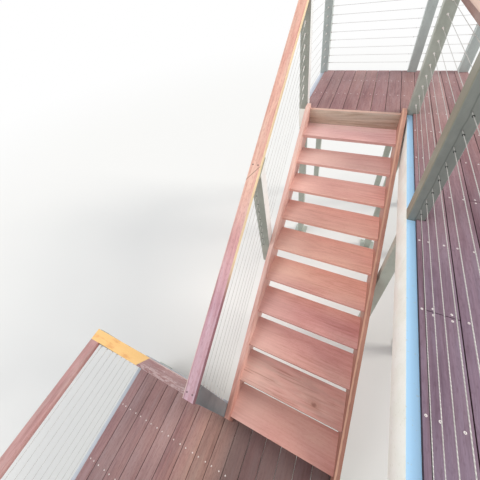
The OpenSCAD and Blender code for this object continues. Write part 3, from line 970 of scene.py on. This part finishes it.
@dataclass(frozen=True)
class Screw:
    """Screw whose head shows.

    Attributes:
        head_r: Radius of the head.
        head_h: Height of the head that is modelled.
        drive_r: Radius of the recess for the driver.
        proud: How far the head's rim stands out.
        crown: How far its middle stands above the rim.
        drive_d: Depth of the recess.
    """

    head_r: float
    head_h: float
    drive_r: float
    proud: float = 0.0004
    crown: float = 0.0003
    drive_d: float = 0.0014

    def head(self) -> Piece:
        """Models the head at the origin, its top just above zero.

        Returns:
            The head.
        """
        piece = Bench.rod(12, self.head_r, self.head_h, self.proud - self.head_h / 2)
        Bench.pick(piece, "polygons", lambda face: face.normal.z > 0.9)
        bpy.ops.mesh.inset(thickness=self.head_r * 0.25)
        bpy.ops.transform.translate(value=(0.0, 0.0, self.crown))
        bpy.ops.mesh.inset(thickness=self.head_r * 0.75 - self.drive_r)
        bpy.ops.mesh.inset(thickness=0.0001)
        bpy.ops.transform.translate(value=(0.0, 0.0, -self.drive_d))
        Bench.done()
        return piece


@dataclass
class Flight:
    """Stringers, treads and the head board.

    Attributes:
        metal: Material of the screws.
        edge_r: Radius of the stringers' edges.
        head_edge_r: Radius of the head board's edges.
        screw_inset: Distance of the side screws from a tread's long edges.
        knot: Place of the knot in its tread, as shares of the tread's length and width.
        treads: Nodes of the treads.
    """

    metal: Material
    edge_r: float = 0.003
    head_edge_r: float = 0.004
    screw_inset: float = 0.07
    knot: tuple[float, float] = (0.73, 0.30)
    treads: tuple[str, ...] = tuple(f"tread_{i:02d}" for i in range(1, 11))

    def build(self) -> None:
        """Builds and dresses the flight."""
        left = Leaning("left_stringer_timber", "f2cbbf", "e8b7ab", "c88f80", Grain.UP_SLOPE, weather=0.12,
                       stops=((-1.55, "b09690"), (-1.2, "dccac4"), (-0.8, "ffffff"), (1.7, "ffffff")))
        right = HighlitPlank("right_stringer_timber", "cf9b88", "bd8673", "966453", Grain.UP_SLOPE,
                          veil="cda899", weather=0.15, left_x=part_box("stringer_right")[0].x,
                          stops=((-1.5, "cdc3c0"), (-0.8, "d8cfcb"), (0.2, "f2ecea"), (1.2, "ffffff")))
        boards = TreadTimber("tread_timber", "f8d6d2", "f0c5c2", "d09a92", Grain.ALONG_X, Planks.TREADS,
                             spread=0.05, figure=0.7, streak=0.48, veil="f0d2c6", weather=0.16, fleck=0.22,
                             stops=((-1.25, "d7beb5"), (-0.92, "dcccc2"), (-0.36, "e3cac8"), (-0.1, "fff0dc"),
                                    (0.7, "ffebe0"), (0.89, "fff1ea"), (0.90, "e6dcd6"), (1.173, "e6dcd6"),
                                    (1.18, "fff9f7"), (1.3, "ffffff")))
        self._stringer("stringer_left", left)
        self._stringer("stringer_right", right)
        dress(boards.material(), *self.treads)
        self._knotted_tread(self.treads[1], boards)
        self._head_board()
        self._side_screws()

    def _stringer(self, node: str, finish: Timber) -> None:
        """Rounds a stringer's outer edges and leaves its trenches sharp.

        Args:
            node: The stringer's node.
            finish: Its timber.
        """
        def outline(a: Vector, b: Vector) -> bool:
            """Says whether an edge runs up the slope or upright, or lies on the horn."""
            run = b - a
            sloping = abs(run.normalized().dot(UP_SLOPE)) > 0.99
            upright = abs(run.z) > 0.04 and abs(run.normalized().z) > 0.99
            return run.length > 0.03 and (sloping or upright)

        piece = Bench.rounded(node, node + "_plank", self.edge_r, 3, outline)
        settle(piece, finish.material(), "stringer_timber", node)

    def _knotted_tread(self, node: str, boards: TreadTimber) -> None:
        """Gives one tread its knot.

        Args:
            node: The tread's node.
            boards: Timber of the other treads.
        """
        low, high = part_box(node)
        place = [a + share * (b - a) for a, b, share in zip(low, high, (*self.knot, 1.0))]
        finish = Knot("tread_timber_knot", boards.light, boards.middle, boards.dark, boards.grain,
                      boards.planks, boards.spread, 1.5, weather=0.3, stops=boards.stops, centre=tuple(place))
        dress(finish.material(), node)

    def _head_board(self) -> None:
        """Rounds the head board and gives it its weathered face."""
        finish = PaleTop("head_timber", "d5c2b1", "c6ae9b", "957d6a", Grain.ALONG_X, figure=1.8,
                         streak=0.8, veil="c9beb3", weather=0.4, rough=0.75, depth=0.0008)
        piece = Bench.rounded("head_riser", "head_riser_board", self.head_edge_r)
        settle(piece, finish.material(), "head_timber", "head_riser")

    def _side_screws(self) -> None:
        """Puts two screws through each stringer into each tread's end."""
        outer = {-1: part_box("stringer_left")[0].x, 1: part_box("stringer_right")[1].x}
        places = []
        for tread in self.treads:
            low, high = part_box(tread)
            for side, x in outer.items():
                for y in (low.y + self.screw_inset, high.y - self.screw_inset):
                    spot = Matrix.Translation((x, y, high.z - TREAD_T / 2))
                    places.append(spot @ Matrix.Rotation(side * math.pi / 2, 4, "Y"))
        Bench.spread(Screw(0.0055, 0.003, 0.0022).head(), "tread_screws", places, self.metal)


@dataclass
class Decking:
    """The boards of the decks with their screws.

    Attributes:
        metal: Material of the screws.
        edge_r: Radius of a board's edges.
        screw_inset: Distance of a screw from its board's edge.
        end_inset: Distance of a screw from its board's end.
        narrow: Boards narrower than this get one screw in their middle.
        post_clear: Distance that screws keep from a post.
    """

    metal: Material
    edge_r: float = 0.0025
    screw_inset: float = 0.031
    end_inset: float = 0.015
    narrow: float = 0.07
    post_clear: float = 0.012

    def build(self) -> None:
        """Builds and dresses the boards."""
        # On the landing and the lower deck, side=0.95 paints shade on the boards' sides, darkening the gaps
        # between them.
        upper = Leaning("landing_timber", "b28f92", "9a767a", "6c4a50", Grain.ALONG_Y, Planks.BOARDS,
                        spread=0.09, figure=0.4, streak=0.42, veil="ab949b", weather=0.3, fleck=0.32,
                        side=0.95, rough=0.62,
                        stops=((-1.65, "d2dffa"), (-0.4, "d6e0f6"), (1.1, "fffaf2"), (2.7, "fffdf4")))
        # The lower deck's stops darken its boards from x = -0.12 onwards, a painted shadow by the flight's
        # foot.
        lower = Leaning("lower_deck_timber", "b4948f", "a2817c", "745450", Grain.ALONG_Y, Planks.BOARDS,
                        spread=0.08, figure=0.4, streak=0.42, veil="ab9a98", weather=0.3, fleck=0.3,
                        side=0.95, rough=0.6, axis=0,
                        stops=((-1.4, "f8f4ff"), (-0.7, "fbf3f6"), (-0.42, "fff6ea"), (-0.28, "f6efe2"),
                               (-0.12, "b8b4b4"), (0.3, "b0acb0"), (0.8, "a4a0a2")))
        for node, finish in (("landing_boards", upper), ("deck_boards", lower)):
            piece = Bench.rounded(node, node + "_laid", self.edge_r)
            settle(piece, finish.material(), "deck_timber", node)
        places = self._crossings("deck_boards", "deck_joists")
        places += self._crossings("landing_boards", "landing_joists", "wing_joists")
        Bench.spread(Screw(0.0055, 0.002, 0.0020).head(), "deck_screws", places, self.metal)

    def _crossings(self, boards: str, *joists: str) -> list[Matrix]:
        """Finds where the boards of a node are screwed to joists.

        Args:
            boards: The boards' node.
            joists: The joists' nodes.

        Returns:
            The screws' places.
        """
        posts = [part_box(name) for name in bpy.data.objects.keys() if "_post_" in name]
        beams = [box for node in joists for box in solids_of(node)]
        places = []
        for low, high in solids_of(boards):
            for near, far in beams:
                y = min(max((near.y + far.y) / 2, low.y + self.end_inset), high.y - self.end_inset)
                for x in self._rows(low.x, high.x):
                    on_joist = near.x < x < far.x and near.y < y < far.y
                    if on_joist and not any(self._hits(x, y, *post) for post in posts):
                        places.append(Matrix.Translation((x, y, high.z)))
        return places

    def _rows(self, left: float, right: float) -> tuple[float, ...]:
        """Places one or two screws across a board between its left and right edges."""
        two = (left + self.screw_inset, right - self.screw_inset)
        return ((left + right) / 2,) if right - left < self.narrow else two

    def _hits(self, x: float, y: float, low: Vector, high: Vector) -> bool:
        """Says whether a screw would stand in the post between two corners."""
        clear = self.post_clear
        return low.x - clear < x < high.x + clear and low.y - clear < y < high.y + clear


@dataclass
class Handrails:
    """The timber handrails and the screws that show on them.

    Attributes:
        metal: Material of the screws.
        half_pair: Half the distance between the two screws over a post.
        screw_back: How far in front of a post's middle its screws are.
    """

    metal: Material
    half_pair: float = 0.0215
    screw_back: float = 0.020

    def build(self) -> None:
        """Builds and dresses the handrails."""
        (left_x, _, _), (right_x, joint_far, _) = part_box("handrail_lower")
        joint_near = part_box("handrail_upper")[0].y
        # The flight rail's stops paint bluish shade on its lower end and sunlight on its upper end.
        flight = StairRail("stair_rail_timber", "f2c2bd", "e7aaa6", "bd7d78", Grain.UP_SLOPE,
                           figure=1.5, streak=1.1, veil="e2cbc8", weather=0.36, fleck=0.4, left_x=left_x,
                           joint_y=joint_near, joint_run=(joint_far - joint_near) / (right_x - left_x),
                           stops=((-1.4, "dae3f8"), (-0.85, "dee3f8"), (-0.5, "f2f2f8"), (-0.15, "fffdee"),
                                  (1.4, "fffbe8")))
        tones = ("cb9d9a", "b68482", "8c5a56")
        along = Timber("level_rail_timber", *tones, Grain.ALONG_Y, fleck=0.25)
        golden = GoldenEnd("golden_end_rail_timber", *tones, Grain.ALONG_Y, fleck=0.25,
                           golden_y=CornerRail.middle_y - CornerRail.half)
        # The side deck's rail has painted sunlight on its top and painted shade on its darker sides.
        sunny = PaleTop("side_deck_rail_timber", "a0756a", "875d52", "603d35", Grain.ALONG_Y, top="dcbcaa")
        corner = CornerRail("corner_rail_timber", "b58d8a", "a27775", "7b5052", Grain.ALONG_X,
                            veil="d8c4c2", weather=0.2, fleck=0.2)
        across = Timber("rear_rail_timber", *tones, Grain.ALONG_X, fleck=0.25)
        dress(flight.material(), "handrail_lower", "handrail_upper")
        for finish, node in (
            (along, "landing_rail_left"), (golden, "deck_rail_left"), (sunny, "wing_rail"),
            (corner, "deck_rail_back"), (across, "landing_rail_rear"),
        ):
            dress(finish.material(), node)
        self._screws()

    def _screws(self) -> None:
        """Puts a pair of screws through the rail into each post that carries it."""
        tilt = Matrix.Rotation(SLOPE, 4, "X")
        low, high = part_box("handrail_lower")
        middle_x = (low.x + high.x) / 2
        places = []
        for post in ("stair_post_foot", "stair_post_middle"):
            post_low, post_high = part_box(post)
            y = (post_low.y + post_high.y) / 2 - self.screw_back
            for side in (-1, 1):
                spot = (middle_x + side * self.half_pair, y, self._top_z(y))
                places.append(Matrix.Translation(spot) @ tilt)
        Bench.spread(Screw(0.006, 0.002, 0.0024).head(), "rail_screws", places, self.metal)

    @staticmethod
    def _top_z(y: float) -> float:
        """Height of the sloping rail's upper face at a place along Y."""
        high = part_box("handrail_upper")[1]
        return high.z - (high.y - y) * math.tan(SLOPE)


@dataclass
class WireInfill:
    """The wires, the lock nuts at their ends and the bushes in the posts that they pass.

    Attributes:
        metal: Material of the nuts.
        rubber: Material of the bushes.
        nut_r: Radius of a nut over its corners.
        nut_h: Height of a nut.
        nut_rim: Width of the rim round a nut's end.
        seat: Height of the seat that the nut is screwed against.
        sleeve: Length of the sleeve on a wire's end.
        shortest: Solids of a wires' node that are shorter than this are seats.
        bush_r: Radius of the dark bush round a wire that passes through a post.
        bush_h: How far a bush stands out.
        bush_wall: Width of a bush's rim.
        runs: Nodes of the wires, with their directions.
        passed: Nodes of wires that pass through a post, with the post's.
    """

    metal: Material
    rubber: Material
    nut_r: float = 0.0080
    nut_h: float = 0.0065
    nut_rim: float = 0.0011
    seat: float = 0.0055
    sleeve: float = 0.068
    shortest: float = 0.1
    bush_r: float = 0.0066
    bush_h: float = 0.0016
    bush_wall: float = 0.0030
    runs: tuple[tuple[str, Vector], ...] = (
        ("landing_wires_rear", ALONG_X), ("deck_wires_back", ALONG_X), ("landing_wires_left", ALONG_Y),
        ("wing_wires", ALONG_Y), ("deck_wires_left", ALONG_Y), ("stair_wires_side", UP_SLOPE),
    )
    passed: tuple[tuple[str, str], ...] = (
        ("stair_wires_side", "stair_post_middle"), ("wing_wires", "wing_post_middle"),
        ("landing_wires_rear", "landing_post_rear_right"),
    )

    def build(self) -> None:
        """Builds and dresses the wires."""
        ways = dict(self.runs)
        places = [place for node, way in self.runs for place in self._string(node, way)]
        Bench.spread(self._nut(), "wire_nuts", places, self.metal)
        places = [place for node, post in self.passed for place in self._holes(node, post, ways[node])]
        Bench.spread(self._bush(), "wire_bushes", places, self.rubber)

    def _wires(self, node: str) -> list[Box]:
        """Finds the wires among a node's solids."""
        return [(low, high) for low, high in solids_of(node) if max(high - low) >= self.shortest]

    def _holes(self, node: str, post: str, way: Vector) -> list[Matrix]:
        """Finds where the wires of a node go into and out of a post.

        Args:
            node: The wires' node.
            post: The post's node.
            way: Direction of the wires.

        Returns:
            The bushes' places.
        """
        axis = 0 if way.x > 0.5 else 1
        places = []
        for low, high in self._wires(node):
            centre = (low + high) / 2
            for side, face in zip((-1.0, 1.0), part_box(post)):
                spot = centre + way * ((face[axis] - centre[axis]) / way[axis])
                outwards = Vector([side if i == axis else 0.0 for i in range(3)])
                places.append(aimed(spot, outwards))
        return places

    def _string(self, node: str, way: Vector) -> list[Matrix]:
        """Dresses the wires of a node and places a nut at both ends of each.

        Args:
            node: The wires' node.
            way: Direction of the wires.

        Returns:
            The nuts' places.
        """
        axis = 0 if way.x > 0.5 else 1
        low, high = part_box(node)
        rope = WireRope(node + "_rope", axis, (low[axis], high[axis]), self.sleeve * way[axis])
        dress(rope.material(), node)
        seats = 2 if way.z > 0.1 else 1
        places = []
        for low, high in self._wires(node):
            half = (high - low)[axis] / (2 * way[axis])
            reach = half - seats * self.seat - self.nut_h / 2
            places += [aimed((low + high) / 2 + way * reach * side, way) for side in (-1, 1)]
        return places

    def _nut(self) -> Piece:
        """Models one nut with a chamfered rim.

        Returns:
            The nut at the origin, its axis along Z.
        """
        nut = Bench.rod(6, self.nut_r, self.nut_h)
        Bench.pick(nut, "polygons", lambda face: abs(face.normal.z) > 0.9)
        bpy.ops.mesh.inset(thickness=self.nut_rim)
        Bench.done()
        Bench.pick(nut, "vertices", lambda point: math.hypot(point.co.x, point.co.y) > self.nut_r * 0.99)
        bpy.ops.transform.resize(value=(1.0, 1.0, 0.8))
        Bench.done()
        return nut

    def _bush(self) -> Piece:
        """Models one bush with a sunk middle.

        Returns:
            The bush on the plane of its post's face, its axis along Z.
        """
        bush = Bench.rod(12, self.bush_r, self.bush_h, self.bush_h / 2)
        Bench.pick(bush, "polygons", lambda face: face.normal.z > 0.9)
        bpy.ops.mesh.inset(thickness=self.bush_wall)
        bpy.ops.mesh.extrude_region_move(TRANSFORM_OT_translate={"value": (0.0, 0.0, -self.bush_h * 0.7)})
        Bench.done()
        return bush


@dataclass
class SteelFrame:
    """Edge channels, posts, legs and joists.

    Attributes:
        edge_r: Radius of a channel's edges.
        hole_line_aside: How far to the left of a drilled post's holes the dark line runs.
    """

    edge_r: float = 0.002
    hole_line_aside: float = 0.004

    def build(self) -> None:
        """Builds and dresses the steelwork and the joists under the boards."""
        # The channels' upper faces get a painted reflection of the sky.
        self._channels("blue_channel_coat", "a3d5fb", "wing_beams")
        self._channels("pale_channel_coat", "c6cddd", "landing_end_beams", "landing_side_beams")
        self._channels("deck_channel_coat", "b4bbc8", "deck_end_beams", "deck_side_beams")
        self._posts()
        joists = Timber("joist_timber", "b9ae8a", "a0966f", "746b4a", Grain.ALONG_X, Planks.JOISTS,
                        veil="8f8a78", weather=0.4, rough=0.8)
        dress(joists.material(), "landing_joists", "wing_joists", "deck_joists")

    def _channels(self, name: str, upward: str, *nodes: str) -> None:
        """Rounds and coats channels.

        Args:
            name: Name of the coat.
            upward: Colour of its upper faces, a painted reflection of the sky.
            nodes: The channels' nodes.
        """
        rolled = PaintedSteel(name, "fbfff9", "f4f8ef", upward, mark="bdb8aa", rough=0.38).material()
        for node in nodes:
            settle(Bench.rounded(node, node + "_rolled", self.edge_r), rolled, "frame_steel", node)

    def _posts(self) -> None:
        """Coats the posts and legs: two with painted sunlight on one side, the wing posts with painted warm
        light on one side, the foot and wing posts darker with painted shade, and the rear posts paler with
        painted light.
        """
        low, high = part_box("wing_post_middle")
        holes_x = (low.x + high.x) / 2
        # Painted warm light on the -X faces and a painted sky reflection on the tops of the wing posts.
        painted_light_and_wear = {"upward": "a0a59f", "rough": 0.5, "warm_lit_face": "86816c"}
        for coat, nodes in (
            (PaintedSteel("post_coat", "b0b5aa", "a3a89d", "b9c0b8", rough=0.45),
             ("landing_post_front_right", "landing_legs", "wing_legs", "deck_legs", "deck_post_corner",
              "deck_post_front")),
            # Painted sunlight on the +X faces of these two posts.
            (PaintedSteel("bleached_post_coat", "a9aea4", "9ca197", "b2b9b1", sunlit_face="f1f3f2", rough=0.45),
             ("stair_post_middle", "landing_post_front_left")),
            # The foot post is darker with painted shade.
            (PaintedSteel("foot_post_coat", "757c80", "6c7377", "a3a8a3", rough=0.5), ("stair_post_foot",)),
            # The wing posts are darker with painted shade.
            (PaintedSteel("worn_post_coat", "898d86", "7d817b", **painted_light_and_wear), ("wing_post_front",)),
            (PaintedSteel("drilled_post_coat", "8c9089", "80847e", **painted_light_and_wear, hole_line_x=holes_x - self.hole_line_aside),
             ("wing_post_middle",)),
            # The rear posts are paler and bluer with painted light.
            (PaintedSteel("pale_post_coat", "bcc5c1", "aeb7b4", "c4cbc8"),
             ("landing_post_rear_left", "landing_post_rear_right", "landing_post_rear_end")),
        ):
            dress(coat.material(), *nodes)


@dataclass(frozen=True)
class Lamp:
    """One far, soft lamp.

    Attributes:
        name: The lamp's name.
        towards: Direction from the object to the lamp.
        power: Its strength.
        width: How wide it looks from the object, in degrees.
        colour: Colour of its light.
    """

    name: str
    towards: tuple[float, float, float]
    power: float
    width: float
    colour: tuple[float, float, float]

    def hang(self) -> None:
        """Puts the lamp in the scene."""
        lamp = bpy.data.lights.new(self.name, "SUN")
        lamp.energy = self.power
        lamp.angle = math.radians(self.width)
        lamp.color = self.colour
        holder = bpy.data.objects.new(self.name, lamp)
        holder.rotation_euler = Vector(self.towards).to_track_quat("Z", "Y").to_euler()
        bpy.context.scene.collection.objects.link(holder)


@dataclass
class Studio:
    """Camera, floor and soft light.

    Attributes:
        eye: Place of the camera.
        turn: Its turn about X, Y and Z in degrees.
        lens: Focal length in millimetres on a picture as wide as the sensor.
        sensor: Width of the sensor in millimetres.
        shift: How far the picture is moved across and up, in picture widths.
        clip: Nearest and farthest distance that the camera sees.
        floor_size: Side of the floor.
        floor_paint: Linear colour of the floor near the object.
        fade: Distances from the origin where the floor starts to fade into the background and has faded.
        sky_paint: Linear colour of the light from all round.
        sky_power: Its strength.
        lamps: The soft lamps.
    """

    eye: tuple[float, float, float] = (0.413275, -1.33285, 3.79945)
    turn: tuple[float, float, float] = (45.73645, 7.63606, 23.76618)
    lens: float = 18.645
    sensor: float = 36.0
    shift: tuple[float, float] = (-0.0141, -0.0890)
    clip: tuple[float, float] = (0.05, 200.0)
    floor_size: float = 120.0
    floor_paint: tuple[float, ...] = (0.80, 0.80, 0.79, 1.0)
    fade: tuple[float, float] = (6.0, 16.0)
    sky_paint: tuple[float, ...] = (0.95, 0.97, 1.0, 1.0)
    sky_power: float = 0.68
    lamps: tuple[Lamp, ...] = (
        Lamp("key", (-0.7, -0.3, 0.9), 1.1, 40.0, (1.0, 0.99, 0.97)),
        Lamp("side", (1.0, 0.35, 0.55), 1.9, 20.0, (1.0, 0.96, 0.89)),
    )

    def build(self) -> None:
        """Sets up the whole studio."""
        self._camera()
        self._floor()
        self._lights()
        bpy.context.scene.view_settings.view_transform = "Standard"

    def _camera(self) -> None:
        """Puts the camera where the photograph was taken."""
        camera = bpy.data.cameras.new("camera")
        camera.sensor_width = self.sensor
        camera.lens = self.lens
        camera.shift_x, camera.shift_y = self.shift
        camera.clip_start, camera.clip_end = self.clip
        holder = bpy.data.objects.new("camera", camera)
        holder.location = self.eye
        holder.rotation_euler = [math.radians(a) for a in self.turn]
        bpy.context.scene.collection.objects.link(holder)
        bpy.context.scene.camera = holder

    def _floor(self) -> None:
        """Lays the pale floor, which fades into the background far away."""
        bpy.ops.object.select_all(action="DESELECT")
        bpy.ops.mesh.primitive_plane_add(size=self.floor_size, location=(0.0, 0.0, 0.0))
        floor = bpy.context.object
        floor.name = "floor"
        g = Graph("floor_paper")
        camera, glossy = (g.node("ShaderNodeLightPath", out=f"Is {ray} Ray") for ray in ("Camera", "Glossy"))
        far = g.length(g.place).between(*self.fade) * (camera + glossy)
        near = g.node("ShaderNodeBsdfDiffuse", {"Color": self.floor_paint})
        glow = g.node("ShaderNodeEmission", {"Color": "ffffff", "Strength": 1.0})
        both = g.node("ShaderNodeMixShader", {0: far, 1: near, 2: glow})
        g.node("ShaderNodeOutputMaterial", {"Surface": both})
        floor.data.materials.append(g.owner)

    def _lights(self) -> None:
        """Hangs the lamps, and sets the light from all round and the white background."""
        for lamp in self.lamps:
            lamp.hang()
        g = Graph("studio", "worlds")
        camera, glossy, through = (g.node("ShaderNodeLightPath", out=f"Is {ray} Ray")
                                   for ray in ("Camera", "Glossy", "Transmission"))
        sky = g.node("ShaderNodeBackground", {"Color": self.sky_paint, "Strength": self.sky_power})
        white = g.node("ShaderNodeBackground", {"Color": "ffffff"})
        both = g.node("ShaderNodeMixShader", {0: camera.most(glossy).most(through), 1: sky, 2: white})
        g.node("ShaderNodeOutputWorld", {"Surface": both})
        bpy.context.scene.world = g.owner


def main() -> None:
    """Builds the model and the studio in order."""
    logging.basicConfig(level=logging.INFO, format="%(name)s: %(message)s")
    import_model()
    pale = ScrewMetal("pale_screws", "efe9e6", "d2c8c4", 0.1).material()
    dark = ScrewMetal("dark_screws", "5b4a44", "3c302c", 0.2).material()
    rubber = ScrewMetal("bush_rubber", "3f4340", "2d302e", 0.0).material()
    Studio().build()
    SteelFrame().build()
    Decking(pale).build()
    Flight(pale).build()
    Handrails(dark).build()
    WireInfill(pale, rubber).build()


if __name__ == "__main__":
    main()
